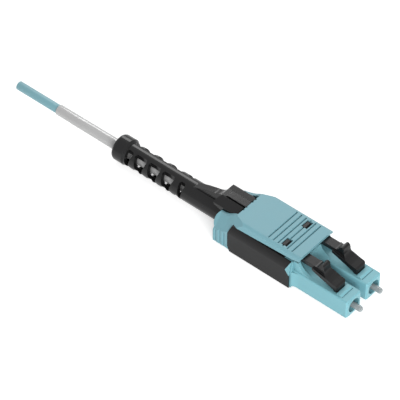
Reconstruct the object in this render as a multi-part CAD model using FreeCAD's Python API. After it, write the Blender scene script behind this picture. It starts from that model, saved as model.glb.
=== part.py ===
import FreeCAD, Part
import math
import os

# Duplex LC push-pull uniboot plug on a short cable stub, in millimetres.
# X points forward out of the plugs, +Y is to the left plug and +Z is up.
# Pieces are modelled with X = 0 at the plug noses and Z = 0 on the underside that the
# connector lies on. build() then moves X = 0 to the middle of the rear body's underside.

V = FreeCAD.Vector

# The two plug bodies and the ferrules in them
PITCH = 6.25              # between the ferrule axes
AXIS_Z = 2.7              # ferrule and cable axes above the underside
PLUG_W = 4.5              # square section of a plug body
PLUG_EDGE = 0.35          # radius along its long edges
NOSE_EDGE = 0.3           # chamfer round its front face
PLUG_LEN = 13.9           # nose to the rear body
FERRULE_R = 0.625
FERRULE_OUT = 1.95        # ferrule tip ahead of the nose
FERRULE_LEN = 7.2
GROUND_LEN = 4.6          # ground length of a ferrule, from its tip
SHANK_R = 0.45            # behind it, seated in the holder
FERRULE_CHAMFER = 0.3
CORE_R = 0.0625           # bare fibre in the ferrule
NOSE_BORE_R = 1.575
NOSE_BORE_LEN = 2.6
SEAT_LEN = 1.3            # wall between the nose bore and the spring bore
SEAT_CLEAR = 0.2          # radial gap round the ferrule in that wall
SPRING_BORE_R = 1.25
HOLDER_LEN = 1.5          # flange of the ferrule holder
HOLDER_TAIL_R = 0.8
HOLDER_TAIL_LEN = 3.2
SPRING_LEN = 5.2
SPRING_WIRE_R = 0.1
SPRING_CLEAR = 0.12       # between a spring and its bore
SPRING_TURNS = 4
STOP_LEN = 2.6
RUN_CLEAR = 0.06          # radial running clearance of what slides in a bore
FACE_CLEAR = 0.05         # gap between faces that meet end to end

# Latch levers
LATCH_W = 2.9
LATCH_ARM_W = 2.0
LATCH_HUMP_W = 1.7
HINGE_X = -3.6
HINGE_LIFT = 0.08         # lever above the top of its plug
TONGUE_LEN = 0.6
TONGUE_W = 2.2
TONGUE_DEEP = 0.5
TONGUE_CLEAR = 0.12
LUG_BACK = 5.9            # hinge to the rear faces of the lugs
LUG_LIFT = 2.2            # their lower edge above the plug
LUG_HIGH = 0.6
PEAK_BACK = 4.0
PEAK_LIFT = 4.5
FLARE_LEN = 1.7           # over which the lever widens ahead of its peak
ARM_CLEAR = 0.1           # below the slider's plate
ARM_THICK = 0.95
ARM_TAIL = 0.9            # arm behind the slider's window
PAD_HIGH = 0.28           # pad on the plug ahead of each latch
PAD_LEN = 1.3
PAD_W = 3.4
PAD_GROOVE = 0.14         # across the plug ahead of the pad
CORRIDOR_CLEAR = 0.15     # beside each arm
CORRIDOR_FLOOR = 4.85     # room for the arms when they are pressed

# Rear body
BODY_LEN = 15.6
BODY_HALF = 6.2
BODY_SHOULDER = 4.9       # top of its upright sides
BODY_EDGE = (5.55, 7.12)  # where the rounded sides meet the slider
DECK_HALF = 4.75
DECK_TOP = 8.1
REAR_DECK_TOP = 7.3
REAR_DECK_LEN = 4.0
BODY_WALL = 0.3
FLANGE_AHEAD = 0.4        # front housing flange ahead of the rear body
FLANGE_LEN = 2.2
SPIGOT_LEN = 2.0
SPIGOT_HALF = 5.1
SPIGOT_HIGH = 3.2
NOTCH_DEEP = 1.0          # pointed notch in the front edge of each side
FIT = 0.05                # between pieces that plug together
WEB_LEN = 4.3             # scoop from the flange down to the top of the plugs
WEB_R = 3.3
BLEND_LEN = 2.2           # blend from the flange to the sides of the plugs
RAIL_STOP = 0.1           # rail slot short of the front housing
COVER_HALF = 4.6
COVER_HIGH = 0.8

# Slider shell
SLIDE_CLEAR = 0.1         # all round between the slider and the body
PLATE_TOP = 8.85
PLATE_AHEAD = 1.8         # plate ahead of the rear body
PLATE_HALF = 4.5          # flat of its top
LIP_LOW = 7.22            # lower edge of its lips at the rear
LIP_RISE = 0.55           # of that edge along the rear body
LIP_END_RISE = 0.3        # and ahead of it
LIP_RISE_X = 2.0          # rear of the body to the start of the rise
EAR_LEN = 3.7
EAR_HALF = 6.2
EAR_TOP = 7.0
EAR_RAMP = 0.5            # rear of the ears to the foot of the ramp up to the plate
RAMP_END = 1.6            # rear of the body to the top of the ramp
RAMP_LOW = 1.5            # underside of the ramp below the ears' top
EAR_LOW = 0.45
EAR_HIP = 4.35            # height at which an ear's side leans in
EAR_BULGE = 0.6           # of an ear's rear edge
SHOULDER_OUT = (7.25, 8.75)   # reach of the leaning shoulder at its rear and front ends
SHOULDER_LEN = 5.1
WINDOW_BACK = 4.05        # front of the plate to its windows
WINDOW_LEN = 1.45
WINDOW_HALF = 1.05
GROOVES = 6
GROOVE_BACK = 2.5         # front of the plate to the first groove across it
GROOVE_PITCH = 1.18
GROOVE_DEEP = 0.34
GROOVE_W = 0.38
GRIPS = 3
GRIP_PITCH = 1.05
GRIP_DEEP = 0.28
GRIP_W = 0.6
GRIP_TOP = 4.65
RAIL_NECK = 0.7           # half widths of the T-shaped guide rail
RAIL_HEAD = 1.2
RAIL_LOW = 6.3
RAIL_HEAD_HIGH = 0.8
NOTCH_HALF = 3.3          # rear notch that takes the boot
NICKS = (0.95, 1.85)      # small nicks in its front edge, from the middle
NICK_W = 0.4
NICK_DEEP = 0.35

# Boot
BOOT_BLOCK_HALF = 3.2
BOOT_BLOCK_LEN = 6.1
BOOT_BLOCK_TOP = 8.35
BOOT_TAB_HALF = 0.85
BOOT_TAB_TOP = 8.6
BOOT_SLOT = 0.2           # width of the slots beside the tab
BOOT_R = 2.6
BOOT_TUBE_LEN = 14.4      # block face to the lattice
BOOT_BORE_R = 1.95
LATTICE_BORE_R = 1.65
LATTICE_PITCH = 3.7
LATTICE_WINDOWS = 5
SIDE_TOP_LEN = 3.1        # side windows, along their upper and lower edges
SIDE_LOW_LEN = 1.5
END_TOP_LEN = 1.5         # the same for the narrow one in front
END_LOW_LEN = 0.5
SIDE_TOP = 0.95           # heights of those edges above and below the axis,
SIDE_LOW = 0.62           # as shares of the boot's radius
SLOT_LEN = 1.2            # slots below, midway between the windows
SLOT_HALF = 1.35
SPINE_HALF = 0.4          # solid strip above the windows, as a share of the radius
SCALLOP_W = 1.7           # notches in the lower flanks, between slots and windows
SCALLOP_DEEP = 0.42
COLLAR_R = 2.95
COLLAR_LEN = 3.3
COLLAR_EDGE = 0.5
MOUTH_R = 1.45

# Cable and its end fittings
JACKET_R = 1.0
JACKET_WALL = 0.25
SLEEVE_R = 1.25           # clear sleeve over the jacket
CABLE_OUT = 28.7          # cable seen behind the boot
SLEEVE_OUT = 17.1         # sleeve seen behind the boot
FIBRE_R = 0.125
TUBE_R = 0.45
POST_R = 1.35
POST_BORE_R = 1.0
POST_LEN = 7.0
POST_FLANGE_R = 2.0
POST_FLANGE_LEN = 0.9
YARN = 0.12
CRIMP_WALL = 0.32
CRIMP_NECK_LEN = 2.6

# Places that follow from the sizes
HALF = PITCH / 2
PLUG_TOP = AXIS_Z + PLUG_W / 2
LATCH_FRONT = HINGE_X + 0.4
BODY_X1 = -PLUG_LEN
BODY_X0 = BODY_X1 - BODY_LEN
DECK_X0 = BODY_X0 + REAR_DECK_LEN
FLANGE_X1 = BODY_X1 + FLANGE_AHEAD
FLANGE_X0 = FLANGE_X1 - FLANGE_LEN
SPIGOT_X0 = FLANGE_X0 - SPIGOT_LEN
SEAT_X = -NOSE_BORE_LEN - SEAT_LEN
HOLDER_X = SEAT_X - FACE_CLEAR
SPRING_X = HOLDER_X - HOLDER_LEN
STOP_X = SPRING_X - SPRING_LEN
PLATE_X1 = BODY_X1 + PLATE_AHEAD
PLATE_LOW = DECK_TOP + SLIDE_CLEAR
WINDOW_X1 = PLATE_X1 - WINDOW_BACK
WINDOW_X0 = WINDOW_X1 - WINDOW_LEN
LUG_X = HINGE_X - LUG_BACK
LUG_Z = PLUG_TOP + LUG_LIFT
PEAK_X = HINGE_X - PEAK_BACK
PEAK_Z = PLUG_TOP + PEAK_LIFT
ARM_TOP = PLATE_LOW - ARM_CLEAR
ARM_END = WINDOW_X0 - ARM_TAIL
EAR_X1 = BODY_X0 - SLIDE_CLEAR
EAR_X0 = EAR_X1 - EAR_LEN
NOTCH_X = BODY_X0 + 0.35
BOOT_X1 = EAR_X1
LATTICE_X1 = BOOT_X1 - BOOT_TUBE_LEN
LATTICE_LEN = (LATTICE_WINDOWS - 1) * LATTICE_PITCH + 1.6
COLLAR_X1 = LATTICE_X1 - LATTICE_LEN
BOOT_X0 = COLLAR_X1 - COLLAR_LEN
CABLE_X0 = BOOT_X0 - CABLE_OUT
SLEEVE_X0 = BOOT_X0 - SLEEVE_OUT
POST_X1 = BODY_X0 + 1.5
POST_X0 = BODY_X0 - POST_LEN
CRIMP_X1 = BODY_X0 - 0.8
CRIMP_X0 = POST_X0 - CRIMP_NECK_LEN
JACKET_X1 = POST_X0 - 0.35
COVER_X = (POST_X1 + 0.5, SPIGOT_X0 - 0.6)


def box(x0, x1, y0, y1, z0, z1):
    return Part.makeBox(x1 - x0, y1 - y0, z1 - z0, V(x0, y0, z0))


def outline(points):
    """Closed wire through the points; a pair in a list is an arc's middle and end."""
    edges = []
    here = points[0]
    for step in points[1:] + points[:1]:
        if isinstance(step, list):
            middle, there = step
            edges.append(Part.Arc(here, middle, there).toShape())
            here = there
        elif here.distanceToPoint(step) > 1e-6:
            edges.append(Part.LineSegment(here, step).toShape())
            here = step
    return Part.Wire(edges)


def placed(points, place):
    """The same list with every (a, b) pair turned into a vector by place."""
    return [[place(*q) for q in p] if isinstance(p, list) else place(*p) for p in points]


def along_x(points, x0, x1):
    """Profile of (y, z) points, pushed from x0 to x1."""
    wire = outline(placed(points, lambda y, z: V(x0, y, z)))
    return Part.Face(wire).extrude(V(x1 - x0, 0, 0))


def along_y(points, y0, y1):
    """Profile of (x, z) points, pushed from y0 to y1."""
    wire = outline(placed(points, lambda x, z: V(x, y0, z)))
    return Part.Face(wire).extrude(V(0, y1 - y0, 0))


def along_z(points, z0, z1):
    """Profile of (x, y) points, pushed from z0 to z1."""
    wire = outline(placed(points, lambda x, y: V(x, y, z0)))
    return Part.Face(wire).extrude(V(0, 0, z1 - z0))


def turned(points, y=0.0):
    """Profile of (x, radius) points, turned about the axis at height AXIS_Z."""
    wire = outline(placed(points, lambda x, r: V(x, y, AXIS_Z + r)))
    return Part.Face(wire).revolve(V(0, y, AXIS_Z), V(1, 0, 0), 360)


def rod(r, x0, x1, y=0.0):
    return Part.makeCylinder(r, x1 - x0, V(x0, y, AXIS_Z), V(1, 0, 0))


def tube(r_out, r_in, x0, x1, y=0.0):
    return rod(r_out, x0, x1, y).cut(rod(r_in, x0, x1, y))


def mirrored(points):
    """Half outline of (y, z) points from the bottom up, closed by its mirror image."""
    flip = []
    for i, p in enumerate(points):
        before = points[i - 1] if i else None
        if isinstance(p, list):
            end = before[1] if isinstance(before, list) else before
            flip.append([(-p[0][0], p[0][1]), (-end[0], end[1])])
        elif i and not isinstance(before, list):
            flip.append((-before[0], before[1]))
        elif i:
            flip.append((-before[1][0], before[1][1]))
    last = points[-1][1] if isinstance(points[-1], list) else points[-1]
    return points + [(-last[0], last[1])] + flip[::-1]


def joined(shapes):
    return shapes[0].multiFuse(shapes[1:]).removeSplitter()


def edges_where(shape, test):
    return [e for e in shape.Edges if test(e)]


def line_along(edge, axis):
    """Whether an edge is straight and runs along V axis."""
    if not isinstance(edge.Curve, Part.Line):
        return False
    return abs(edge.Curve.Direction.dot(axis)) > 0.999


def bent_rod(points, r):
    """Round rod through points in a level plane, mitred at the turns."""
    ring = Part.Wire(Part.makeCircle(r, points[0], points[1] - points[0]))
    return Part.makePolygon(points).makePipeShell([ring], True, False, 1)


# Front housing: two plug bodies on one flange, with a spigot into the rear body

def plug_body(y):
    w = PLUG_W / 2
    body = box(FLANGE_X1 - 0.5, 0, y - w, y + w, AXIS_Z - w, AXIS_Z + w)
    long_edges = edges_where(body, lambda e: line_along(e, V(1, 0, 0)))
    body = body.makeFillet(PLUG_EDGE, long_edges)
    front = edges_where(body, lambda e: e.BoundBox.XMin > -1e-3)
    body = body.makeChamfer(NOSE_EDGE, front)
    rear = LATCH_FRONT + 0.12
    toe = rear + PAD_LEN
    top = PLUG_TOP + PAD_HIGH
    pad = along_y([(rear, PLUG_TOP - 0.4), (rear, top), (toe - 0.45, top),
                   (toe, PLUG_TOP - 0.02), (toe, PLUG_TOP - 0.4)], y - PAD_W / 2, y + PAD_W / 2)
    groove = along_y([(toe, PLUG_TOP + 0.1), (toe, PLUG_TOP - PAD_GROOVE),
                      (toe + 0.35, PLUG_TOP + 0.1)], y - PAD_W / 2, y + PAD_W / 2)
    return body.fuse(pad).cut(groove)


def plug_bores(y):
    pocket = box(HINGE_X - TONGUE_LEN / 2 - TONGUE_CLEAR, HINGE_X + TONGUE_LEN / 2 + TONGUE_CLEAR,
                 y - TONGUE_W / 2 - TONGUE_CLEAR, y + TONGUE_W / 2 + TONGUE_CLEAR,
                 PLUG_TOP - TONGUE_DEEP - TONGUE_CLEAR, PLUG_TOP + 0.5)
    return [rod(NOSE_BORE_R, -NOSE_BORE_LEN, 1, y),
            rod(FERRULE_R + SEAT_CLEAR, SEAT_X - 1, 0, y),
            rod(SPRING_BORE_R, SPIGOT_X0 - 1, SEAT_X, y),
            pocket]


def arm_corridor(x0, x1, y, floor):
    half = LATCH_ARM_W / 2 + CORRIDOR_CLEAR
    return box(x0, x1, y - half, y + half, floor, DECK_TOP + 1)


def front_housing():
    half = BODY_HALF - BODY_WALL - FIT
    flange_top = BODY_EDGE[1] - FIT
    low = BODY_WALL + FIT
    plug_low = AXIS_Z - PLUG_W / 2
    side = [(half, low), (half, BODY_SHOULDER), (BODY_EDGE[0] - BODY_WALL + FIT, flange_top)]
    rear_flange = along_x(mirrored(side), FLANGE_X0, BODY_X1 + 0.01)
    front_flange = along_x(mirrored(side + [(DECK_HALF, flange_top), (DECK_HALF, DECK_TOP)]),
                           BODY_X1, FLANGE_X1)
    spigot = box(SPIGOT_X0, FLANGE_X0 + 0.01, -SPIGOT_HALF, SPIGOT_HALF,
                 AXIS_Z - SPIGOT_HIGH / 2, AXIS_Z + SPIGOT_HIGH / 2)
    pieces = [plug_body(-HALF), plug_body(HALF), rear_flange, front_flange, spigot]
    # Scoop from the flange down to the top of the plugs, and the blends at their sides
    top = DECK_TOP - 0.9
    x1 = FLANGE_X1 + WEB_LEN
    rise = top - PLUG_TOP
    scoop = along_y([(FLANGE_X1 - 0.1, plug_low + 0.6), (FLANGE_X1 - 0.1, top),
                     (x1 - WEB_R, top), [(x1 - WEB_R * 0.74, PLUG_TOP + rise * 0.42), (x1, PLUG_TOP)],
                     (x1, PLUG_TOP - 0.6), (FLANGE_X1 + 1.0, plug_low + 0.6)],
                    PLUG_EDGE - HALF - PLUG_W / 2, HALF + PLUG_W / 2 - PLUG_EDGE)
    gap = HALF - PLUG_W / 2
    pieces.append(scoop)
    for s in (-1, 1):
        side_y, out = HALF + PLUG_W / 2 - 0.02, half - 0.1
        x2 = FLANGE_X1 + BLEND_LEN
        blend = [(FLANGE_X1 - 0.1, s * (side_y - 0.5)), (FLANGE_X1 - 0.1, s * out),
                 (FLANGE_X1, s * out),
                 [(FLANGE_X1 + BLEND_LEN * 0.36, s * (side_y + (out - side_y) * 0.38)),
                  (x2, s * side_y)], (x2, s * (side_y - 0.5))]
        pieces.append(along_z(blend, plug_low + PLUG_EDGE, PLUG_TOP - PLUG_EDGE))
        key = side_notch(s, -FIT, half - 0.5, BODY_HALF + 1)
        pieces.append(key.common(body_section(FLANGE_X0, FLANGE_X1)))
    housing = joined(pieces)
    cuts = [box(FLANGE_X1 + 1.0, x1 + 1, -gap, gap, 0, PLUG_TOP - 1.5)]
    for s in (-1, 1):
        cuts += plug_bores(s * HALF)
        cuts.append(arm_corridor(FLANGE_X0 - 1, x1 + 1, s * HALF, PLUG_TOP))
    return housing.cut(cuts)


def side_notch(side, grow, y0, y1):
    """Wedge of the pointed notch in a side of the rear body, between |y| of y0 and y1."""
    x, tip, mid = BODY_X1 + 0.01, BODY_X1 - NOTCH_DEEP - grow, BODY_SHOULDER
    points = [(x, mid - 1.3 - grow), (tip, mid), (x, BODY_EDGE[1] - 0.1 + grow)]
    ys = sorted((side * y0, side * y1))
    return along_y(points, *ys)


# Ferrule, its holder, the spring and the stop behind it, for the plug at y

def ferrule(y):
    x1 = FERRULE_OUT
    x0 = x1 - FERRULE_LEN
    step = x1 - GROUND_LEN
    return turned([(x0, CORE_R), (x0, SHANK_R), (step, SHANK_R), (step, FERRULE_R),
                   (x1 - FERRULE_CHAMFER, FERRULE_R), (x1, FERRULE_R - FERRULE_CHAMFER * 0.6),
                   (x1, CORE_R)], y)


def fibre_core(y):
    return rod(CORE_R, FERRULE_OUT - FERRULE_LEN, FERRULE_OUT, y)


def ferrule_holder(y):
    """Hexagonal flange that the spring bears on, with a tail that guides it."""
    flat = (SPRING_BORE_R - RUN_CLEAR) * math.cos(math.pi / 6)
    corner = flat / math.cos(math.pi / 6)
    hexagon = [(y + corner * math.cos(i * math.pi / 3), AXIS_Z + corner * math.sin(i * math.pi / 3))
               for i in range(6)]
    flange = along_x(hexagon, SPRING_X, HOLDER_X)
    x0 = SPRING_X - HOLDER_TAIL_LEN
    body = flange.fuse(rod(HOLDER_TAIL_R, x0, SPRING_X + 0.2, y)).removeSplitter()
    return body.cut(rod(SHANK_R, x0 - 1, HOLDER_X + 1, y))


def spring(y):
    """Coil of square section, so that its faces stay few."""
    w = SPRING_WIRE_R
    r = SPRING_BORE_R - RUN_CLEAR - SPRING_CLEAR - w
    length = SPRING_LEN - 2 * w
    helix = Part.makeHelix(length / SPRING_TURNS, length, r)
    section = Part.makePolygon([V(r - w, 0, -w), V(r + w, 0, -w), V(r + w, 0, w),
                                V(r - w, 0, w), V(r - w, 0, -w)])
    coil = Part.Wire(helix.Edges).makePipeShell([section], True, True)
    coil.rotate(V(0, 0, 0), V(0, 1, 0), 90)
    coil.translate(V(STOP_X + w, y, AXIS_Z))
    return coil


def spring_stop(y):
    return tube(SPRING_BORE_R, HOLDER_TAIL_R + RUN_CLEAR, STOP_X - STOP_LEN, STOP_X, y)


def fibre_tube(side):
    """Buffer tube from the rear of a plug to the middle of the crimp post."""
    y0, y1 = side * HALF, side * (POST_BORE_R - TUBE_R - FIT)
    x = STOP_X - STOP_LEN - FIT
    bend_1 = SPIGOT_X0 - 0.6
    bend_2 = POST_X1 + 2.2
    route = [(x, y0), (bend_1, y0), (bend_2, y1), (BODY_X0 - 2.5, y1)]
    return bent_rod([V(px, py, AXIS_Z) for px, py in route], TUBE_R)


# Latch lever of the plug at y, pressed down about HINGE_X at the top of the plug

def latch(y):
    low = PLUG_TOP + HINGE_LIFT
    front = LATCH_FRONT
    half, thin = LATCH_W / 2, LATCH_ARM_W / 2
    wide = along_y([(front, low), (front, low + 0.8),
                    [(front - 0.17, low + 1.3), (front - 0.6, low + 1.5)],
                    (front - 1.6, low + 1.68), (front - 2.8, low + 2.02),
                    (LUG_X, LUG_Z + LUG_HIGH), (LUG_X, LUG_Z),
                    (HINGE_X - 0.7, low + 0.4), (HINGE_X - TONGUE_LEN / 2, low)],
                   y - half, y + half)
    r = 0.5
    k = r * (1 - math.sqrt(0.5))
    plan = along_z([(LUG_X - 1, y - half), (front - r, y - half),
                    [(front - k, y - half + k), (front, y - half + r)],
                    (front, y + half - r),
                    [(front - k, y + half - k), (front - r, y + half)],
                    (LUG_X - 1, y + half)], 0, PEAK_Z + 1)
    wide = wide.common(plan)
    # Peak and arm, which flare out to the full width ahead of the peak
    arm_low = ARM_TOP - ARM_THICK
    peak = along_y([(front - 2.4, low + 1.2), (front - 2.4, low + 1.9),
                    [(PEAK_X + 1.2, low + 2.35), (PEAK_X + 0.75, PEAK_Z - 0.95)],
                    (PEAK_X + 0.6, PEAK_Z - 0.3), (PEAK_X + 0.3, PEAK_Z), (PEAK_X, PEAK_Z),
                    [(PEAK_X - 0.3, PEAK_Z - 0.3), (PEAK_X - 0.6, PEAK_Z - 0.85)],
                    [(PEAK_X - 0.95, ARM_TOP + 0.17), (PEAK_X - 1.5, ARM_TOP)],
                    (ARM_END + 0.1, ARM_TOP), (ARM_END, ARM_TOP - 0.1), (ARM_END, arm_low),
                    (LUG_X - 0.2, arm_low), (LUG_X + 1.0, LUG_Z - 0.3)], y - half, y + half)
    flare = PEAK_X + 0.1
    mid = (flare + FLARE_LEN * 0.6, thin + (half - thin) * 0.35)
    tip = flare + FLARE_LEN
    peak = peak.common(along_z([(ARM_END - 1, y - thin), (flare, y - thin),
                                [(mid[0], y - mid[1]), (tip, y - half)], (front, y - half),
                                (front, y + half), (tip, y + half),
                                [(mid[0], y + mid[1]), (flare, y + thin)],
                                (ARM_END - 1, y + thin)], 0, PEAK_Z + 1))
    x0, x1 = WINDOW_X0 + 0.1, WINDOW_X1 - 0.05
    rise = PLATE_LOW + 0.45
    hump = along_y([(x0, ARM_TOP - 0.1), (x0, rise), (x1 - 0.55, rise), (x1, ARM_TOP - 0.02),
                    (x1, ARM_TOP - 0.1)],
                   y - LATCH_HUMP_W / 2, y + LATCH_HUMP_W / 2)
    tongue = box(HINGE_X - TONGUE_LEN / 2, HINGE_X + TONGUE_LEN / 2,
                 y - TONGUE_W / 2, y + TONGUE_W / 2, PLUG_TOP - TONGUE_DEEP, low + 0.3)
    return joined([wide, peak, hump, tongue])


# Rear body and what closes it

def body_side(x_shift):
    """Rear edge of the body's sides, or of the slider's ears when shifted back."""
    x = BODY_X0 + x_shift
    return [(x + 0.6, 0), (x, 1.5), (x, BODY_SHOULDER + 0.3), (x + 0.7, BODY_EDGE[1])]


def body_section(x0, x1):
    """Outer section of the rear body."""
    half = mirrored([(BODY_HALF - 0.3, 0), (BODY_HALF, 0.3), (BODY_HALF, BODY_SHOULDER),
                     [(BODY_HALF - 0.14, 6.1), BODY_EDGE],
                     (DECK_HALF, BODY_EDGE[1]), (DECK_HALF, DECK_TOP)])
    return along_x(half, x0, x1)


def rear_body():
    edge_z = BODY_EDGE[1]
    body = body_section(BODY_X0, BODY_X1)
    rear = body_side(0)
    side = along_y(rear + [(BODY_X0 + 0.7, REAR_DECK_TOP), (DECK_X0, REAR_DECK_TOP),
                           (DECK_X0, DECK_TOP), (BODY_X1, DECK_TOP), (BODY_X1, 0)],
                   -BODY_HALF - 1, BODY_HALF + 1)
    body = body.common(side)
    half_in = BODY_HALF - BODY_WALL
    mouth = along_x(mirrored([(half_in, BODY_WALL), (half_in, BODY_SHOULDER),
                              (5.3 + FIT, edge_z)]), FLANGE_X0 - FIT, BODY_X1 + 1)
    cuts = [mouth,
            box(SPIGOT_X0 - FIT, FLANGE_X0, -SPIGOT_HALF - FIT, SPIGOT_HALF + FIT,
                AXIS_Z - SPIGOT_HIGH / 2 - FIT, AXIS_Z + SPIGOT_HIGH / 2 + FIT),
            cover_solid(FIT, 0),
            fan_cavity(),
            rod(POST_FLANGE_R + FIT, POST_X1 - POST_FLANGE_LEN - FIT, POST_X1 + 1),
            rod(POST_R + FIT, BODY_X0 - 1, POST_X1)]
    for side in (-1, 1):
        cuts.append(arm_corridor(ARM_END - 0.8, BODY_X1 + 1, side * HALF, CORRIDOR_FLOOR))
        cuts.append(side_notch(side, 0, half_in - 0.6, BODY_HALF + 1))
    x = FLANGE_X0 - RAIL_STOP
    cuts.append(box(BODY_X0 - 1, x, -RAIL_NECK - SLIDE_CLEAR, RAIL_NECK + SLIDE_CLEAR,
                    RAIL_LOW, DECK_TOP + 1))
    cuts.append(box(BODY_X0 - 1, x, -RAIL_HEAD - SLIDE_CLEAR, RAIL_HEAD + SLIDE_CLEAR,
                    RAIL_LOW - SLIDE_CLEAR, RAIL_LOW + RAIL_HEAD_HIGH + SLIDE_CLEAR))
    return body.cut(cuts)


def cover_solid(grow, z0):
    return box(COVER_X[0] - grow, COVER_X[1] + grow, -COVER_HALF - grow, COVER_HALF + grow,
               z0, COVER_HIGH)


def fan_cavity():
    """Room in which the two fibre tubes come together, tapering to the crimp post."""
    x0, x1 = POST_X1, SPIGOT_X0
    wide = HALF + TUBE_R + 0.6
    narrow = POST_FLANGE_R - 0.2
    points = [(x0, -narrow), (x0 + 1.5, -narrow), (x1 - 1.0, -wide), (x1, -wide),
              (x1, wide), (x1 - 1.0, wide), (x0 + 1.5, narrow), (x0, narrow)]
    plan = along_z(points, COVER_HIGH, AXIS_Z + TUBE_R + 0.9)
    return plan


def bottom_cover():
    cover = cover_solid(0, 0)
    grooves = [box(COVER_X[0] + 1.5 + 1.2 * i, COVER_X[0] + 1.9 + 1.2 * i, -2.0, 2.0, -1, 0.15)
               for i in range(3)]
    return cover.cut(grooves)


def crimp_post():
    x = POST_X1 - POST_FLANGE_LEN
    return turned([(POST_X0, POST_BORE_R), (POST_X0, POST_R), (x, POST_R), (x, POST_FLANGE_R),
                   (POST_X1, POST_FLANGE_R), (POST_X1, POST_BORE_R)])


def yarn_layer():
    return tube(POST_R + YARN, POST_R, POST_X0, CRIMP_X1 - 0.3)


def crimp_sleeve():
    """Sleeve over the yarn, with a neck crimped on the jacket."""
    r_in = POST_R + YARN
    neck = POST_X0 - 0.3
    return turned([(CRIMP_X0, JACKET_R), (CRIMP_X0, JACKET_R + 0.3), (neck - 0.3, JACKET_R + 0.3),
                   (neck - 0.3, r_in + CRIMP_WALL), (CRIMP_X1, r_in + CRIMP_WALL),
                   (CRIMP_X1, r_in), (neck, r_in), (neck, JACKET_R)])


# Cable: jacket, yarn core and two fibres, with a clear sleeve over part of it

def cable_jacket():
    return tube(JACKET_R, JACKET_R - JACKET_WALL, CABLE_X0, JACKET_X1)


def cable_core():
    core = rod(JACKET_R - JACKET_WALL, CABLE_X0, JACKET_X1)
    return core.cut([rod(FIBRE_R, CABLE_X0, JACKET_X1, side * 2 * FIBRE_R) for side in (-1, 1)])


def cable_fibre(side):
    return rod(FIBRE_R, CABLE_X0, JACKET_X1, side * 2 * FIBRE_R)


def clear_sleeve():
    return tube(SLEEVE_R, JACKET_R, SLEEVE_X0, CRIMP_X0 - 0.2)


# Slider shell: top plate with lips, ears behind the body and a T-shaped rail below

def slider_outer():
    """Outer section of the plate and its lips."""
    return [(BODY_EDGE[0] + 0.02, LIP_LOW), (5.3, 8.05), [(5.08, 8.62), (PLATE_HALF, PLATE_TOP)]]


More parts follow.
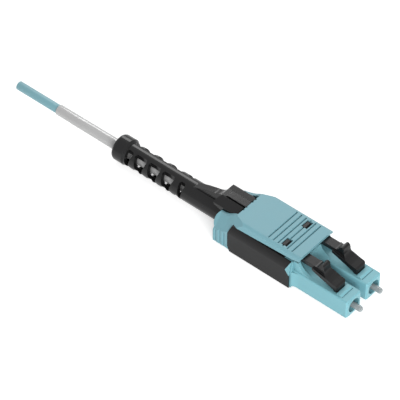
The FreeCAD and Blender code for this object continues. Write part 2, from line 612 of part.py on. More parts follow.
def slider_shell():
    inner = DECK_HALF + SLIDE_CLEAR
    plate = along_x(mirrored(slider_outer()), BODY_X0 + 0.5, PLATE_X1)
    scoop_x0, scoop_x1 = EAR_X0 + EAR_RAMP, BODY_X0 + RAMP_END
    mid = ((scoop_x0 + scoop_x1) / 2, (EAR_TOP + PLATE_TOP) / 2)
    q = (scoop_x1 - scoop_x0) / 4
    rise = (PLATE_TOP - EAR_TOP) / 2
    ramp = along_y([(scoop_x0, EAR_TOP - RAMP_LOW), (scoop_x0, EAR_TOP),
                    [(scoop_x0 + q, EAR_TOP + rise * 0.27), mid],
                    [(scoop_x1 - q, PLATE_TOP - rise * 0.27), (scoop_x1, PLATE_TOP)],
                    (scoop_x1, LIP_LOW), (EAR_X1, LIP_LOW), (EAR_X1, EAR_TOP - RAMP_LOW)],
                   -EAR_HALF - 1, EAR_HALF + 1)
    section = [(EAR_HALF - 0.3, EAR_LOW), (EAR_HALF, EAR_LOW + 0.3), (EAR_HALF, 5.9),
               [(5.9, 7.0), (5.2, 7.65)], [(5.0, PLATE_TOP - 0.2), (PLATE_HALF, PLATE_TOP)]]
    ramp = ramp.common(along_x(mirrored(section), EAR_X0, scoop_x1))
    ears = along_x(mirrored(section[:4]), EAR_X0 - 1, BODY_X0 + 1.0)
    front = body_side(-SLIDE_CLEAR)
    inside = LIP_LOW + 0.3
    ears_side = along_y([(EAR_X0, EAR_LOW)] + front + [(BODY_X0 + 0.6, inside),
                        (EAR_X1, inside), (EAR_X1, EAR_TOP), (EAR_X0, EAR_TOP),
                        [(EAR_X0 - EAR_BULGE, (EAR_HIP + EAR_TOP) / 2), (EAR_X0, EAR_HIP)]],
                        -EAR_HALF - 1, EAR_HALF + 1)
    shell = joined([plate, ramp, ears.common(ears_side)])
    rear_x = DECK_X0 - SLIDE_CLEAR
    under = joined([box(rear_x, PLATE_X1 + 1, -inner, inner, 0, PLATE_LOW),
                    box(EAR_X1, rear_x + 0.1, -inner, inner, 0, REAR_DECK_TOP + SLIDE_CLEAR)])
    lip = LIP_LOW + LIP_RISE
    lip_rise = along_y([(BODY_X0 + LIP_RISE_X, LIP_LOW - 1), (BODY_X0 + LIP_RISE_X, LIP_LOW),
                        (BODY_X1, lip), (PLATE_X1, lip + LIP_END_RISE),
                        (PLATE_X1 + 1, LIP_LOW - 1)], -EAR_HALF, EAR_HALF)
    cuts = [under, lip_rise,
            box(EAR_X0 - 1, NOTCH_X, -NOTCH_HALF, NOTCH_HALF, 0, PLATE_TOP + 1)]
    groove_x = PLATE_X1 - GROOVE_BACK
    for side in (-1, 1):
        y = side * HALF
        cuts.append(box(WINDOW_X0, WINDOW_X1, y - WINDOW_HALF, y + WINDOW_HALF, 0, PEAK_Z + 2))
        cuts.append(shoulder(side))
        for i in range(GRIPS):
            cuts.append(grip_groove(side, EAR_X0 + 0.62 + i * GRIP_PITCH))
        for nick in NICKS:
            y = side * nick
            cuts.append(box(NOTCH_X - 0.1, NOTCH_X + NICK_DEEP, y - NICK_W / 2, y + NICK_W / 2,
                            REAR_DECK_TOP, PLATE_TOP + 1))
    cuts += [plate_groove(groove_x - i * GROOVE_PITCH) for i in range(GROOVES)]
    cuts.append(tab_pocket(FIT))
    shell = shell.cut(cuts)
    rail_x1 = FLANGE_X0 - RAIL_STOP - SLIDE_CLEAR
    rail = joined([box(rear_x, rail_x1, -RAIL_NECK, RAIL_NECK, RAIL_LOW, PLATE_LOW + 0.2),
                   box(rear_x, rail_x1, -RAIL_HEAD, RAIL_HEAD, RAIL_LOW,
                       RAIL_LOW + RAIL_HEAD_HIGH)])
    return shell.fuse(rail).removeSplitter()


def shoulder(side):
    """Cutter that leans an ear's shoulder inwards, more so towards its rear end.

    Its profile lies in the plane of X and of a line 37 degrees above level, square to which
    the shoulder runs."""
    rear, front = SHOULDER_OUT
    x0, x1 = EAR_X0 + 0.3, EAR_X0 + 0.3 + SHOULDER_LEN
    mid = (x0 + 0.45 * SHOULDER_LEN, rear + 0.38 * (front - rear))
    slope = (front - mid[1]) / (x1 - mid[0])
    points = [(x0 - 2, rear + 3), (x0 - 2, rear), (x0, rear), mid,
              (x1 + 3, front + 3 * slope), (x1 + 3, rear + 3)]
    out = V(0, side * 0.8, 0.6)
    along = V(0, side * 0.6, -0.8)
    start = along * -8
    wire = outline([V(x, 0, 0) + out * h + start for x, h in points])
    return Part.Face(wire).extrude(along * 12)


def plate_groove(x):
    w = GROOVE_W / 2
    return along_y([(x - w, PLATE_TOP + 0.1), (x - w, PLATE_TOP), (x, PLATE_TOP - GROOVE_DEEP),
                    (x + w, PLATE_TOP), (x + w, PLATE_TOP + 0.1)], -PLATE_HALF, PLATE_HALF)


def grip_groove(side, x):
    w = GRIP_W / 2
    points = [(x - w, side * (EAR_HALF + 0.1)), (x - w, side * EAR_HALF),
              (x, side * (EAR_HALF - GRIP_DEEP)), (x + w, side * EAR_HALF),
              (x + w, side * (EAR_HALF + 0.1))]
    return along_z(points, 0, GRIP_TOP)


def tab_pocket(grow):
    """Hook of the boot's tab, and with some growth the pocket that takes it."""
    z = PLATE_LOW - 0.6
    return box(NOTCH_X - 0.2, NOTCH_X + 0.8 + grow, -0.8 - grow, 0.8 + grow, z - grow, z + 0.5 + grow)


# Boot: slotted strain relief behind a block that hooks into the slider

def side_window(top, low):
    """Cutters on both sides for a window between two (x0, x1) spans, high and low."""
    z1, z0 = AXIS_Z + SIDE_TOP * BOOT_R, AXIS_Z - SIDE_LOW * BOOT_R
    c = 0.35
    points = [(top[0] + c, z1), (top[1] - c, z1), (top[1], z1 - c), (low[1], z0 + c),
              (low[1] - c * 0.6, z0), (low[0] + c * 0.6, z0), (low[0], z0 + c), (top[0], z1 - c)]
    near = SPINE_HALF * BOOT_R
    return [along_y(points, -BOOT_R - 1, -near), along_y(points, near, BOOT_R + 1)]


def scallop(x, side):
    """Cut across a lower flank of the boot, square to the line 45 degrees down.

    Its flanks bend, so that what stands between two of them looks round."""
    w = SCALLOP_W / 2
    down = V(0, side, -1).normalize()
    along = V(0, side, 1).normalize()
    start = V(x, 0, AXIS_Z) + down * BOOT_R - along * BOOT_R
    points = [(0, -SCALLOP_DEEP), (0.55 * w, -SCALLOP_DEEP * 0.3), (w, 0), (w, 0.3),
              (-w, 0.3), (-w, 0), (-0.55 * w, -SCALLOP_DEEP * 0.3)]
    wire = outline([start + V(a, 0, 0) + down * b for a, b in points])
    return Part.Face(wire).extrude(along * BOOT_R * 2)


def boot():
    e = COLLAR_EDGE
    k = e * 0.293
    step = LATTICE_X1 + 1.0
    solid = rod(BOOT_R, COLLAR_X1 - 1, BOOT_X1 - 2.5)
    # The collar lies on the surface below, a little above the line of the boot
    collar = turned([(BOOT_X0, 0), (BOOT_X0, COLLAR_R - e),
                     (BOOT_X0 + k, COLLAR_R - k), (BOOT_X0 + e, COLLAR_R),
                     (COLLAR_X1 - e, COLLAR_R), (COLLAR_X1, COLLAR_R - 0.45), (COLLAR_X1, 0)])
    collar.translate(V(0, 0, COLLAR_R - AXIS_Z))
    # Raised spine that runs up from the tube into the tab
    t = BOOT_BLOCK_TOP
    spine = along_y([(LATTICE_X1 + 0.9, AXIS_Z + 1.5), (LATTICE_X1 + 0.9, AXIS_Z + BOOT_R - 0.15),
                     (LATTICE_X1 + 4.0, AXIS_Z + 3.65), (BOOT_X1 - 7.9, AXIS_Z + 4.4),
                     [(BOOT_X1 - 6.5, AXIS_Z + 4.95), (BOOT_X1 - 5.7, t)],
                     (BOOT_X1 - 4.7, t), (BOOT_X1 - 4.3, BOOT_TAB_TOP),
                     (NOTCH_X - FIT, BOOT_TAB_TOP), (NOTCH_X - FIT, REAR_DECK_TOP + 0.2),
                     (BOOT_X1, REAR_DECK_TOP + 0.2), (BOOT_X1, AXIS_Z + 1.5)],
                    -BOOT_TAB_HALF, BOOT_TAB_HALF)
    # Side blocks between the slider's ears, which overhang the tube behind them
    h = BOOT_BLOCK_HALF
    section = along_x(mirrored([(h - 0.4, 0.3), (h, 0.7), (h, t - 0.85),
                                [(h - 0.13, t - 0.63), (h - 0.4, t - 0.5)],
                                (BOOT_TAB_HALF + BOOT_SLOT, t)]), BOOT_X1 - 8, BOOT_X1)
    x = BOOT_X1 - BOOT_BLOCK_LEN
    wing = along_y([(x + 0.1, t - 1.2), (x, t - 0.85), [(x + 0.12, t - 0.35), (x + 0.5, t)],
                    (BOOT_X1, t), (BOOT_X1, 0.3), (EAR_X0 + 0.1, 0.3), (EAR_X0 + 0.1, 6.4),
                    (x + 0.6, t - 1.4)], -h, h)
    solid = joined([solid, collar, spine, section.common(wing), tab_pocket(0)])
    cuts = [rod(BOOT_BORE_R, step, BOOT_X1 + 1),
            rod(LATTICE_BORE_R, COLLAR_X1 - 1.2, step),
            rod(MOUTH_R, BOOT_X0 - 1, BOOT_X1)]
    for side in (-1, 1):
        y = side * (BOOT_TAB_HALF + BOOT_SLOT / 2)
        cuts.append(box(BOOT_X1 - 4.7, NOTCH_X + 0.01, y - BOOT_SLOT / 2, y + BOOT_SLOT / 2,
                        t - 1.0, t + 1))
    first = COLLAR_X1 + 0.2
    for i in range(LATTICE_WINDOWS):
        x = first + i * LATTICE_PITCH
        end = i == LATTICE_WINDOWS - 1
        a = (END_TOP_LEN if end else SIDE_TOP_LEN) / 2
        b = (END_LOW_LEN if end else SIDE_LOW_LEN) / 2
        rear = COLLAR_X1 + 0.1
        cuts += side_window((max(x - a, rear), x + a), (max(x - b, rear), x + b))
    for i in range(LATTICE_WINDOWS - 1):
        x = first + (i + 0.5) * LATTICE_PITCH
        cuts.append(box(x - SLOT_LEN / 2, x + SLOT_LEN / 2, -SLOT_HALF, SLOT_HALF,
                        -1, AXIS_Z - 1))
        cuts += [scallop(x + shift * LATTICE_PITCH / 4, side)
                 for shift in (-1, 1) for side in (-1, 1)]
    return solid.cut(cuts)


def build():
    parts = {
        "front_housing": front_housing(),
        "rear_body": rear_body(),
        "bottom_cover": bottom_cover(),
        "crimp_post": crimp_post(),
        "yarn_layer": yarn_layer(),
        "crimp_sleeve": crimp_sleeve(),
        "slider_shell": slider_shell(),
        "boot": boot(),
        "cable_jacket": cable_jacket(),
        "cable_core": cable_core(),
        "clear_sleeve": clear_sleeve(),
    }
    for name, side in (("left", 1), ("right", -1)):
        y = side * HALF
        parts["ferrule_" + name] = ferrule(y)
        parts["fibre_core_" + name] = fibre_core(y)
        parts["ferrule_holder_" + name] = ferrule_holder(y)
        parts["spring_" + name] = spring(y)
        parts["spring_stop_" + name] = spring_stop(y)
        parts["latch_" + name] = latch(y)
        parts["fibre_tube_" + name] = fibre_tube(side)
        parts["cable_fibre_" + name] = cable_fibre(side)
    for shape in parts.values():
        shape.translate(V(-(BODY_X0 + BODY_X1) / 2, 0, 0))
    return parts


os.makedirs("parts", exist_ok=True)
for node, shape in build().items():
    if not shape.isValid() or len(shape.Solids) != 1:
        print("check", node, shape.isValid(), len(shape.Solids))
    shape.exportStep("parts/" + node + ".step")
    b = shape.BoundBox
    print("%-22s %9.3f mm3  x %.2f..%.2f y %.2f..%.2f z %.2f..%.2f" % (
        node, shape.Volume, b.XMin, b.XMax, b.YMin, b.YMax, b.ZMin, b.ZMax))
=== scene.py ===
import math

import bmesh
import bpy
from mathutils import Matrix, Vector


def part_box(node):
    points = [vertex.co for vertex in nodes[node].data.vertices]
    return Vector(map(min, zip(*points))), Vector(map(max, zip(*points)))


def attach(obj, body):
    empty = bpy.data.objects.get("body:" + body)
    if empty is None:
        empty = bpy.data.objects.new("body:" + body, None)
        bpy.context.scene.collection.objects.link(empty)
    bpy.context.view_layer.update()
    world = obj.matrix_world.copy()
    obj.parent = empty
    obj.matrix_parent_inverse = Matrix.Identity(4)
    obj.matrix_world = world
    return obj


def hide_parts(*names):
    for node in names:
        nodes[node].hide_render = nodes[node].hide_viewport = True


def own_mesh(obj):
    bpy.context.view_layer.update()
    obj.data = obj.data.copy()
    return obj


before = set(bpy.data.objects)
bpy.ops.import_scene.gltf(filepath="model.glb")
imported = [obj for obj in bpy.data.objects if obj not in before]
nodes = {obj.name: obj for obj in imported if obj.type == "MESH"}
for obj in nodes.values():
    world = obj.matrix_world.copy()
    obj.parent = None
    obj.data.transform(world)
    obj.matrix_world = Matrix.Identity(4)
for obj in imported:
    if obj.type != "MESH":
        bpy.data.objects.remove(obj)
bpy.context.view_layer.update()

# Duplex push-pull fibre connector on its cable stub. Metres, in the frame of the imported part:
# X points forward out of the plugs, +Y is to the left plug, Z = 0 is what the connector lies on.

MM = 0.001
scene = bpy.context.scene
scene.view_settings.view_transform = "Standard"

AXIS_Z = (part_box("ferrule_left")[0].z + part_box("ferrule_left")[1].z) / 2
NOSE_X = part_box("front_housing")[1].x


def link(obj):
    scene.collection.objects.link(obj)
    return obj


# ---------------------------------------------------------------- camera

CAMERA_AZIMUTH = 40.62           # degrees, from the right-hand side round to the nose
CAMERA_ELEVATION = 45.53         # degrees
CAMERA_AIM = Vector((NOSE_X, 0, 0.45 * MM))
CAMERA_DISTANCE = 0.46805
CAMERA_ASIDE = (0.031837, -0.020210)     # how far the aim lies right of and above the view's middle
CAMERA_LENS = 216.0              # mm, on a sensor of 36 mm


def make_camera():
    a, e = math.radians(CAMERA_AZIMUTH), math.radians(CAMERA_ELEVATION)
    back = Vector((math.sin(a) * math.cos(e), -math.cos(a) * math.cos(e), math.sin(e)))
    right = Vector((math.cos(a), math.sin(a), 0))
    up = back.cross(right)
    eye = back * CAMERA_DISTANCE - right * CAMERA_ASIDE[0] - up * CAMERA_ASIDE[1] + CAMERA_AIM
    data = bpy.data.cameras.new("camera")
    data.lens = CAMERA_LENS
    data.sensor_width = 36.0
    data.clip_start = 0.01
    camera = link(bpy.data.objects.new("camera", data))
    turn = Matrix((right, up, back)).transposed().to_4x4()
    camera.matrix_world = Matrix.Translation(eye) @ turn
    scene.camera = camera


make_camera()


# ---------------------------------------------------------------- node trees

class Graph:
    """Node tree of a finish, a shape or the world, with the calls that they share."""

    def __init__(self, tree):
        self.tree = tree

    def put(self, socket, value):
        """Join another node's output to the socket, or write a plain value on it."""
        if isinstance(value, bpy.types.NodeSocket):
            self.tree.links.new(value, socket)
        else:
            socket.default_value = value

    def add(self, kind, values=None, **settings):
        """Outputs of a new node; values go to its inputs, settings to the node itself."""
        node = self.tree.nodes.new(kind)
        for key, value in settings.items():
            setattr(node, key, value)
        for key, value in (values or {}).items():
            self.put(node.inputs[key], value)
        return node.outputs

    def calc(self, how, a, b=0.0):
        return self.add("ShaderNodeMath", {0: a, 1: b}, operation=how)[0]

    def span(self, value, low, high, start=0.0, end=1.0, **settings):
        """The range from start to end, turned into the range from low to high."""
        return self.add("ShaderNodeMapRange", {"Value": value, "From Min": start, "From Max": end,
                                               "To Min": low, "To Max": high}, **settings)["Result"]

    def seen(self):
        """1 for the camera, for gloss and through glass, and 0 for the light on the object."""
        light = self.add("ShaderNodeLightPath")
        mirrored = self.calc("MAXIMUM", light["Is Glossy Ray"], light["Is Transmission Ray"])
        return self.calc("MAXIMUM", light["Is Camera Ray"], mirrored)


# ---------------------------------------------------------------- finishes

CREVICE_SKY = (0.15, 0.95)       # shares of open sky between which the painted shade of a gap fades
EDGE_MATCH = (0.86, 0.995)       # cosines from soft to flat normal between which an edge fades
CLOUD_SCALE = 260.0              # of the slow drift in moulded plastic


class Finish(Graph):
    """Material whose patterns lie on the piece's own coordinates."""

    def __init__(self, name):
        self.material = bpy.data.materials.new(name)
        self.material.use_nodes = True
        super().__init__(self.material.node_tree)
        self.shader = self.tree.nodes["Principled BSDF"]
        self.coords = self.add("ShaderNodeTexCoord")["Object"]

    def dress(self, **sockets):
        """Write or join the shader's sockets, named with _ for each space."""
        for key, value in sockets.items():
            self.put(self.shader.inputs[key.replace("_", " ")], value)
        return self.material

    def noise(self, scale, detail=2.0, rough=0.5, stretch=None):
        coords = self.coords
        if stretch:
            coords = self.add("ShaderNodeMapping", {"Vector": coords, "Scale": stretch})["Vector"]
        return self.add("ShaderNodeTexNoise", {"Vector": coords, "Scale": scale, "Detail": detail,
                                               "Roughness": rough})["Fac"]

    def mix(self, share, a, b):
        values = {"Factor": share, "A": a, "B": b}
        return self.add("ShaderNodeMix", values, data_type="RGBA")["Result"]

    def bump(self, height, depth, strength, normal=None):
        values = {"Height": height, "Distance": depth, "Strength": strength}
        if normal is not None:
            values["Normal"] = normal
        return self.add("ShaderNodeBump", values)["Normal"]

    def painted_crevice_shade(self, reach, dark):
        """Painted shade: 1 on open faces, down to dark in corners and gaps that are narrower than
        reach.
        """
        sky = self.add("ShaderNodeAmbientOcclusion", {"Distance": reach}, samples=8)["AO"]
        return self.span(sky, dark, 1.0, *CREVICE_SKY)

    def soft_edge(self, radius):
        """(normal that rounds the edges, mask of the edges)"""
        normal = self.add("ShaderNodeBevel", {"Radius": radius}, samples=6)["Normal"]
        face = self.add("ShaderNodeNewGeometry")["True Normal"]
        match = self.add("ShaderNodeVectorMath", {0: normal, 1: face}, operation="DOT_PRODUCT")
        return normal, self.span(match["Value"], 1.0, 0.0, *EDGE_MATCH)


def colour(rgb, gain=1.0):
    """Opaque colour, made paler or darker by the gain."""
    return tuple(min(c * gain, 1.0) for c in rgb) + (1.0,)


def moulded(name, rgb, rough, drift=0.05, grain=9000.0, depth=6e-6, edge=0.13 * MM, painted_edge_highlight=0.12,
            blotch=0.07, painted_gap_shade=None, **sockets):
    """Moulded plastic: slight random drift of tone, fine spark-eroded grain, soft edges with a
    painted highlight.

    drift is the change of tone, grain and depth are the skin's fineness and relief, edge is the
    radius of the edges and the argument after it the paleness of their painted highlight, blotch is
    the change of gloss, and the last named one is the (reach, darkest share) of the painted shade
    in crevices.
    """
    n = Finish(name)
    cloud = n.noise(CLOUD_SCALE, detail=3.0)
    skin = n.noise(grain, rough=0.6)
    normal, edge_highlight_mask = n.soft_edge(edge)
    # painted highlight: the edges' colour is made paler towards white along the edge mask
    edge_highlight_rgb = tuple(c + (1 - c) * painted_edge_highlight for c in rgb)
    tone = n.mix(cloud, colour(rgb, 1 - drift), colour(rgb, 1 + drift))
    tone = n.mix(n.calc("MULTIPLY", edge_highlight_mask, n.span(cloud, 0.5, 1.0, 0.3, 0.7)), tone, colour(edge_highlight_rgb))
    # painted shade: corners and gaps are darkened towards black by ambient occlusion
    if painted_gap_shade:
        tone = n.mix(n.painted_crevice_shade(*painted_gap_shade), (0, 0, 0, 1), tone)
    mottle = n.calc("ADD", n.calc("MULTIPLY", cloud, 0.6), n.calc("MULTIPLY", skin, 0.4))
    return n.dress(Base_Color=tone, Normal=n.bump(skin, depth, 0.5, normal),
                   Roughness=n.span(mottle, rough - blotch, rough + blotch, 0.3, 0.7), **sockets)


def metal(name, rgb, rough, stretch):
    """Turned or drawn metal, with fine lines that run round or along it."""
    n = Finish(name)
    lines = n.noise(900.0, detail=4.0, rough=0.6, stretch=stretch)
    return n.dress(Base_Color=n.mix(lines, colour(rgb, 0.86), colour(rgb, 1.08)), Metallic=1.0,
                   Roughness=n.span(lines, rough - 0.08, rough + 0.1, 0.3, 0.7),
                   Normal=n.bump(lines, 4e-6, 0.6))


def glass_fibre():
    """Clear glass with a faint drift of tint and gloss."""
    n = Finish("glass_fibre")
    return n.dress(Base_Color=n.mix(n.noise(4000.0), (0.82, 0.88, 0.92, 1), (0.95, 0.97, 1, 1)),
                   Roughness=n.span(n.noise(9000.0), 0.04, 0.14), Transmission_Weight=0.6)


def aramid():
    """Golden yarn, streaked along its run."""
    n = Finish("aramid_yarn")
    streaks = n.noise(5000.0, detail=4.0, rough=0.7, stretch=(0.08, 1.0, 1.0))
    return n.dress(Base_Color=n.mix(streaks, (0.55, 0.38, 0.06, 1), (0.95, 0.78, 0.25, 1)),
                   Roughness=n.span(streaks, 0.45, 0.7), Normal=n.bump(streaks, 3e-5, 0.8),
                   Sheen_Weight=0.3)


AQUA_SHELL = (0.203, 0.42, 0.482)
# the plugs' aqua: a lighter, more saturated copy of the shell's plastic, painted light for the
# plugs' lit sides
AQUA_PLUG_LIT = (0.225, 0.505, 0.57)
AQUA_JACKET = (0.212, 0.43, 0.49)
BLACK = (0.009, 0.009, 0.0095)
ZIRCONIA = (0.29, 0.33, 0.34)
SLEEVE_WHITE = (0.47, 0.47, 0.47)
BUFFER_WHITE = (0.7, 0.7, 0.68)

# The paler edges of these finishes are a painted highlight, and their crevice darkening is painted
# shade.
aqua_shell = moulded("aqua_moulded_shell", AQUA_SHELL, 0.42, edge=0.07 * MM, painted_gap_shade=(0.6 * MM, 0.78),
                     Specular_IOR_Level=0.36)
aqua_plug = moulded("aqua_moulded_plug", AQUA_PLUG_LIT, 0.4, edge=0.1 * MM, painted_gap_shade=(1.2 * MM, 0.6),
                    Specular_IOR_Level=0.36)
black_body = moulded("black_moulded_body", BLACK, 0.34, painted_edge_highlight=0.03, edge=0.1 * MM,
                     Specular_IOR_Level=0.22)
black_latch = moulded("black_latch_resin", BLACK, 0.3, painted_edge_highlight=0.03, edge=0.1 * MM,
                      Specular_IOR_Level=0.25)
black_boot = moulded("black_boot_elastomer", BLACK, 0.17, grain=6000.0, depth=2e-6,
                     edge=0.12 * MM, painted_edge_highlight=0.02, blotch=0.03, Specular_IOR_Level=0.27)
white_ceramic = moulded("ground_zirconia", ZIRCONIA, 0.16, drift=0.03, depth=1e-6,
                        edge=0.05 * MM, painted_edge_highlight=0.2, Coat_Weight=0.3, Coat_Roughness=0.06)
white_sleeve = moulded("white_sleeve_tube", SLEEVE_WHITE, 0.25, drift=0.03, grain=3000.0,
                       depth=2e-6, edge=0.05 * MM, painted_edge_highlight=0.3, painted_gap_shade=(2.0 * MM, 0.5),
                       Coat_Weight=1.0, Coat_Roughness=0.08, Sheen_Weight=0.6,
                       Sheen_Roughness=0.25)
aqua_jacket = moulded("aqua_cable_jacket", AQUA_JACKET, 0.4, grain=5000.0, depth=5e-6,
                      edge=0.08 * MM, painted_edge_highlight=0.1, Sheen_Weight=0.12, Sheen_Roughness=0.3)
buffer_white = moulded("buffer_tube_white", BUFFER_WHITE, 0.4)
nickel = metal("nickel_plated_brass", (0.72, 0.70, 0.66), 0.28, (1.0, 6.0, 6.0))
crimp_metal = metal("crimped_copper_alloy", (0.70, 0.70, 0.72), 0.34, (1.0, 5.0, 5.0))
spring_wire = metal("drawn_spring_wire", (0.62, 0.62, 0.64), 0.25, (8.0, 1.0, 1.0))
fibre = glass_fibre()
yarn = aramid()

FINISHES = {
    "front_housing": aqua_plug,
    "slider_shell": aqua_shell,
    "rear_body": black_body,
    "bottom_cover": black_body,
    "boot": black_boot,
    "latch_left": black_latch,
    "latch_right": black_latch,
    "ferrule_left": white_ceramic,
    "ferrule_right": white_ceramic,
    "fibre_core_left": fibre,
    "fibre_core_right": fibre,
    "cable_fibre_left": fibre,
    "cable_fibre_right": fibre,
    "ferrule_holder_left": nickel,
    "ferrule_holder_right": nickel,
    "spring_stop_left": nickel,
    "spring_stop_right": nickel,
    "crimp_post": nickel,
    "crimp_sleeve": crimp_metal,
    "spring_left": spring_wire,
    "spring_right": spring_wire,
    "yarn_layer": yarn,
    "cable_core": yarn,
    "fibre_tube_left": buffer_white,
    "fibre_tube_right": buffer_white,
    "cable_jacket": aqua_jacket,
    "clear_sleeve": white_sleeve,
}


def paint(obj, material):
    if not obj.data.materials:
        obj.data.materials.append(material)
    for i in range(len(obj.data.materials)):
        obj.data.materials[i] = material


for node, material in FINISHES.items():
    paint(nodes[node], material)


# ---------------------------------------------------------------- springs, tubes and yarn

class Shape(Graph):
    """Geometry tree with named sizes, which ends as a plain mesh on one body."""

    def __init__(self, name, **sizes):
        super().__init__(bpy.data.node_groups.new(name, "GeometryNodeTree"))
        face = self.tree.interface
        face.new_socket("Geometry", in_out="INPUT", socket_type="NodeSocketGeometry")
        self.sizes = {}
        for key, value in sizes.items():
            kind = "NodeSocketInt" if isinstance(value, int) else "NodeSocketFloat"
            socket = face.new_socket(key, in_out="INPUT", socket_type=kind)
            self.sizes[socket.identifier] = value
        face.new_socket("Geometry", in_out="OUTPUT", socket_type="NodeSocketGeometry")
        given = self.add("NodeGroupInput")
        self.given = [given[key] for key in sizes]

    def line(self, points):
        """Straight line of so many points, which lay() or lay_round() then puts in place."""
        start = self.add("GeometryNodeCurvePrimitiveLine", {"End": (1, 0, 0)})[0]
        return self.add("GeometryNodeResampleCurve", {"Curve": start, "Count": points})[0]

    def along(self):
        """Share of the line's length at each point."""
        return self.add("GeometryNodeSplineParameter")["Factor"]

    def lay(self, line, x, y=0.0, z=0.0):
        """Put the line's points at x, y and z."""
        place = self.add("ShaderNodeCombineXYZ", {"X": x, "Y": y, "Z": z})[0]
        return self.add("GeometryNodeSetPosition", {"Geometry": line, "Position": place})[0]

    def lay_round(self, line, x, radius, angle):
        """Put the line's points at x along the axis, and at radius and angle round it."""
        return self.lay(line, x, self.calc("MULTIPLY", radius, self.calc("COSINE", angle)),
                        self.calc("MULTIPLY", radius, self.calc("SINE", angle)))

    def turns(self, count):
        """Angle of a number of full turns."""
        return self.calc("MULTIPLY", count, 2 * math.pi)

    def rod(self, line, radius, sides):
        """Smooth rod with capped ends along the line."""
        ring = self.add("GeometryNodeCurvePrimitiveCircle", {"Resolution": sides, "Radius": radius})
        rod = self.add("GeometryNodeCurveToMesh", {"Curve": line, "Profile Curve": ring[0],
                                                   "Fill Caps": True})
        return self.add("GeometryNodeSetShadeSmooth", {"Geometry": rod[0]})[0]

    def make(self, name, geometry, material, centre, body):
        """Run the tree once, keep its mesh as a piece at the centre, and put it on the body."""
        whole = self.add("GeometryNodeRealizeInstances", {"Geometry": geometry})[0]
        done = self.add("GeometryNodeSetMaterial", {"Geometry": whole, "Material": material})[0]
        self.add("NodeGroupOutput", {0: done})
        holder = link(bpy.data.objects.new(name + "_tree", bpy.data.meshes.new(name)))
        maker = holder.modifiers.new("maker", "NODES")
        maker.node_group = self.tree
        for key, value in self.sizes.items():
            maker[key] = value
        ready = holder.evaluated_get(bpy.context.evaluated_depsgraph_get())
        mesh = bpy.data.meshes.new_from_object(ready)
        bpy.data.objects.remove(holder)
        mesh.transform(Matrix.Translation(centre))
        turned = bmesh.new()
        turned.from_mesh(mesh)
        bmesh.ops.recalc_face_normals(turned, faces=turned.faces)
        turned.to_mesh(mesh)
        turned.free()
        piece = link(bpy.data.objects.new(name, mesh))
        paint(piece, material)
        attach(piece, body)
        return piece


SPRING_TURNS = 7
SPRING_WIRE = 0.1 * MM           # radius of the wire
CLOSE_PITCH = 2.15               # rise of a closed turn, in radii of the wire
COIL_POINTS = 24                 # to a turn


def coil_spring(side):
    """Round wire; its end turns lie close together and the ones between are open."""
    low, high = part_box("spring_" + side)
    tree = Shape("coil_spring", Length=high.x - low.x - 2 * SPRING_WIRE, Turns=SPRING_TURNS,
                 Radius=(high.y - low.y) / 2 - SPRING_WIRE, Wire=SPRING_WIRE)
    length, turns, radius, wire = tree.given
    line = tree.line(tree.calc("MULTIPLY", turns, COIL_POINTS))
    along = tree.along()
    closed = tree.calc("MULTIPLY", tree.calc("MULTIPLY", wire, CLOSE_PITCH), turns)
    opened = tree.span(along, 0.0, tree.calc("SUBTRACT", length, closed),
                       interpolation_type="SMOOTHSTEP")
    x = tree.calc("ADD", tree.calc("MULTIPLY", closed, along), opened)
    angle = tree.calc("MULTIPLY", tree.turns(turns), along)
    coil = tree.rod(tree.lay_round(line, x, radius, angle), wire, sides=10)
    centre = (low.x + SPRING_WIRE, (low.y + high.y) / 2, (low.z + high.z) / 2)
    spring = tree.make("wire_spring_" + side, coil, spring_wire, centre, "housing")
    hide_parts("spring_" + side)
    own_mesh(spring)


POST_RUN = 2.2 * MM              # straight run of the tube in front of the crimp post
PLUG_RUN = 0.6 * MM              # and behind the plugs
BEND_SPREAD = 0.25               # share of the slanting run by which each bend reaches past it


def buffer_tube(side):
    """Smooth S-shaped tube from a plug's rear to the crimp post."""
    low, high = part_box("fibre_tube_" + side)
    thick = (high.z - low.z) / 2
    plug_y, post_y = high.y - thick, low.y + thick
    if side == "right":
        plug_y, post_y = post_y, plug_y
    bend_0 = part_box("crimp_post")[1].x + POST_RUN - low.x
    bend_1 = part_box("front_housing")[0].x - PLUG_RUN - low.x
    spread = (bend_1 - bend_0) * BEND_SPREAD
    tree = Shape("buffer_tube", Length=high.x - low.x, Post_side=post_y, Plug_side=plug_y,
                 Bend_start=bend_0 - spread, Bend_end=bend_1 + spread, Radius=thick)
    length, start_y, end_y, start_x, end_x, radius = tree.given
    line = tree.line(points=80)
    x = tree.calc("MULTIPLY", tree.along(), length)
    y = tree.span(x, start_y, end_y, start_x, end_x, interpolation_type="SMOOTHSTEP")
    pipe = tree.rod(tree.lay(line, x, y), radius, sides=20)
    centre = (low.x, 0, (low.z + high.z) / 2)
    tube = tree.make("smooth_tube_" + side, pipe, buffer_white, centre, "housing")
    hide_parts("fibre_tube_" + side)


YARN_STRANDS = 100
YARN_LAY = 25 * MM               # length in which the strands go once round
YARN_RING = (0.43 * MM, 0.69 * MM)       # radii between which they lie
STRAND_RADIUS = 0.045 * MM
RAGGED = 0.2 * MM                # by which the strands' cut ends differ
GOLDEN_ANGLE = 2.399963
YARN_SEED = 7


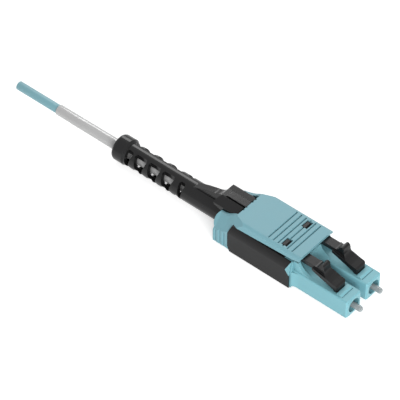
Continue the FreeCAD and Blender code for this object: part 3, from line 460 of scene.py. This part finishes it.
def yarn_bundle():
    """Aramid strands that lie twisted round the two fibres, and end unevenly at the cut."""
    low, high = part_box("cable_core")
    tree = Shape("yarn_bundle", Length=high.x - low.x, Strands=YARN_STRANDS, Inner=YARN_RING[0],
                 Outer=YARN_RING[1], Strand=STRAND_RADIUS, Lay=YARN_LAY, Ragged=RAGGED)
    length, count, inner, outer, thick, lay, ragged = tree.given
    spots = tree.add("GeometryNodePoints", {"Count": count})[0]
    lines = tree.add("GeometryNodeInstanceOnPoints",
                     {"Points": spots, "Instance": tree.line(points=32)})[0]
    lines = tree.add("GeometryNodeRealizeInstances", {"Geometry": lines})[0]
    number = tree.add("GeometryNodeFieldOnDomain", {0: tree.add("GeometryNodeInputIndex")[0]},
                      domain="CURVE", data_type="INT")[0]
    share = tree.calc("DIVIDE", tree.calc("ADD", number, 0.5), count)
    radius = tree.calc("SQRT", tree.span(share, tree.calc("MULTIPLY", inner, inner),
                                         tree.calc("MULTIPLY", outer, outer)))
    cut = tree.add("FunctionNodeRandomValue", {"Max": ragged, "ID": number, "Seed": YARN_SEED},
                   data_type="FLOAT")
    cut = next(socket for socket in cut if socket.enabled)
    run = tree.calc("SUBTRACT", length, cut)
    x = tree.calc("ADD", cut, tree.calc("MULTIPLY", tree.along(), run))
    angle = tree.calc("ADD", tree.turns(tree.calc("DIVIDE", x, lay)),
                      tree.calc("MULTIPLY", number, GOLDEN_ANGLE))
    rods = tree.rod(tree.lay_round(lines, x, radius, angle), thick, sides=5)
    centre = (low.x, (low.y + high.y) / 2, (low.z + high.z) / 2)
    bundle = tree.make("yarn_bundle", rods, yarn, centre, "housing")
    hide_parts("cable_core")
    return bundle


for side in ("left", "right"):
    coil_spring(side)
    buffer_tube(side)
strands = yarn_bundle()


# ---------------------------------------------------------------- webs and cable

def circle(centre, across, up, radius, count):
    """Points round the centre, in the plane of two directions that are one metre long."""
    angles = [2 * math.pi * i / count for i in range(count)]
    return [centre + (across * math.cos(a) + up * math.sin(a)) * radius for a in angles]


def ring_piece(name, stacks, material, hollow):
    """Piece whose faces join each ring of points of a stack to the next one.

    A hollow stack also joins its last ring to its first, as the wall of a tube does. Otherwise
    the stack is solid, with both ends capped.
    """
    mesh = bmesh.new()
    for stack in stacks:
        rings = [[mesh.verts.new(point) for point in ring] for ring in stack]
        if hollow:
            rings.append(rings[0])
        else:
            mesh.faces.new(rings[0])
            mesh.faces.new(reversed(rings[-1]))
        for one, two in zip(rings, rings[1:]):
            for i in range(len(one)):
                j = (i + 1) % len(one)
                mesh.faces.new((one[i], one[j], two[j], two[i]))
    bmesh.ops.recalc_face_normals(mesh, faces=mesh.faces)
    data = bpy.data.meshes.new(name)
    mesh.to_mesh(data)
    mesh.free()
    for face in data.polygons:
        face.use_smooth = hollow
    data.materials.append(material)
    return link(bpy.data.objects.new(name, data))


POCKET_GAP = 0.1 * MM            # between the rear body and the slider's pocket round it
POCKET_SIDE = 4.85 * MM          # from the middle to the pocket's side
POCKET_TOP = 7.4 * MM            # height of its top
EAR_CUTS = (0.403 * MM, 0.167 * MM, 0.223 * MM)  # from the pocket's corner along X, Y and Z
WEB_RINGS = ((0.29, 0.0015), (0.42, -0.002), (0.42, -0.06), (0.25, -0.12))   # mm: radius, height


def ear_web(side):
    """Rings of a thin disc, flush with an ear's face, over the gap at the pocket's corner."""
    corner = Vector((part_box("rear_body")[0].x - POCKET_GAP, side * POCKET_SIDE, POCKET_TOP))
    below = corner - Vector((0, 0, EAR_CUTS[2]))
    a = corner + Vector((EAR_CUTS[0], 0, 0)) - below
    b = corner - Vector((0, side * EAR_CUTS[1], 0)) - below
    normal = a.cross(b)
    # from that corner of the gap to the middle of the circle through all three
    to_centre = (b * a.length_squared - a * b.length_squared).cross(normal)
    centre = below + to_centre / (2 * normal.length_squared)
    out = normal.normalized() * (1 if normal.z > 0 else -1)
    across = a.normalized()
    return [circle(centre + out * height * MM, across, out.cross(across), radius * MM, count=24)
            for radius, height in WEB_RINGS]


webs = ring_piece("shell_webs", [ear_web(-1), ear_web(1)], aqua_shell, hollow=False)
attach(webs, "slider")


def wall(x0, x1, inner, outer, edge, steps):
    """(x, radius) stations round a tube's wall from x0 to x1, with small rounds on its edges."""
    cut = edge * 0.3
    run = [x0 + edge + (x1 - x0 - 2 * edge) * i / steps for i in range(steps + 1)]
    out = [(x0, outer - edge), (x0 + cut, outer - cut)] + [(x, outer) for x in run]
    out += [(x1 - cut, outer - cut), (x1, outer - edge)]
    back = [(x1, inner + edge), (x1 - cut, inner + cut)] + [(x, inner) for x in reversed(run)]
    return out + back + [(x0 + cut, inner + cut), (x0, inner + edge)]


def cable_tube(name, stations, material):
    """Closed tube on the cable's axis whose wall runs through the (x, radius) stations."""
    y_way, z_way = Vector((0, 1, 0)), Vector((0, 0, 1))
    rings = [circle(Vector((x, 0, AXIS_Z)), y_way, z_way, radius, count=48)
             for x, radius in stations]
    return ring_piece(name, [rings], material, hollow=True)


JACKET_R = 1.0 * MM
JACKET_BORE = 0.75 * MM          # radius
SLEEVE_FIT = 0.01 * MM           # between jacket and sleeve

exit_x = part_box("crimp_sleeve")[0].x
cable_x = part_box("cable_jacket")[0].x
jacket_wall = wall(cable_x, exit_x, JACKET_BORE, JACKET_R, edge=0.05 * MM, steps=6)
jacket = cable_tube("jacket", jacket_wall, aqua_jacket)
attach(jacket, "housing")
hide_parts("cable_jacket")

sleeve_low, sleeve_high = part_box("clear_sleeve")
sleeve_wall = wall(sleeve_low.x, sleeve_high.x, JACKET_R + SLEEVE_FIT, sleeve_high.y,
                   edge=0.07 * MM, steps=4)
sleeve = cable_tube("sleeve", sleeve_wall, white_sleeve)
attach(sleeve, "housing")
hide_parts("clear_sleeve")


# ---------------------------------------------------------------- floor, world and lights

FLOOR_SHADE = 0.86
FLOOR_GLOW = 0.58                # added where the floor is seen, and not to the light on the object
FLOOR_HALF = 3.0                 # half the floor's side
FLOOR_DROP = 2e-5                # below what the connector lies on
WORLD_LIGHT = 0.42               # on the object; where it is seen, the world is white


def make_floor():
    n = Finish("pale_floor")
    n.dress(Base_Color=colour([FLOOR_SHADE] * 3), Roughness=0.9, Specular_IOR_Level=0.0)
    glow = n.add("ShaderNodeEmission", {"Strength": n.calc("MULTIPLY", n.seen(), FLOOR_GLOW)})[0]
    both = n.add("ShaderNodeAddShader", {0: n.shader.outputs[0], 1: glow})[0]
    n.put(n.tree.nodes["Material Output"].inputs["Surface"], both)
    corners = [(x * FLOOR_HALF, y * FLOOR_HALF, -FLOOR_DROP)
               for x, y in ((-1, -1), (1, -1), (1, 1), (-1, 1))]
    mesh = bpy.data.meshes.new("floor")
    mesh.from_pydata(corners, [], [(0, 1, 2, 3)])
    mesh.materials.append(n.material)
    link(bpy.data.objects.new("floor", mesh))


def make_world():
    world = bpy.data.worlds.new("studio")
    world.use_nodes = True
    scene.world = world
    n = Graph(world.node_tree)
    back = n.tree.nodes["Background"].inputs
    n.put(back["Color"], (1, 1, 1, 1))
    n.put(back["Strength"], n.span(n.seen(), WORLD_LIGHT, 1.0))


def area_light(name, place, size, power, mirrored=True):
    """Rectangular lamp that faces the connector; its width lies level."""
    data = bpy.data.lights.new(name, "AREA")
    data.shape = "RECTANGLE"
    data.size, data.size_y = size
    data.energy = power
    lamp = link(bpy.data.objects.new(name, data))
    lamp.location = place
    lamp.rotation_euler = (-Vector(place)).to_track_quat("-Z", "Y").to_euler()
    lamp.visible_glossy = mirrored


make_floor()
make_world()
area_light("key", place=(0.50, -0.38, 0.27), size=(0.34, 0.34), power=3.6, mirrored=False)
area_light("behind", place=(-0.342, 0.509, 0.431), size=(0.6, 0.27), power=2.3)
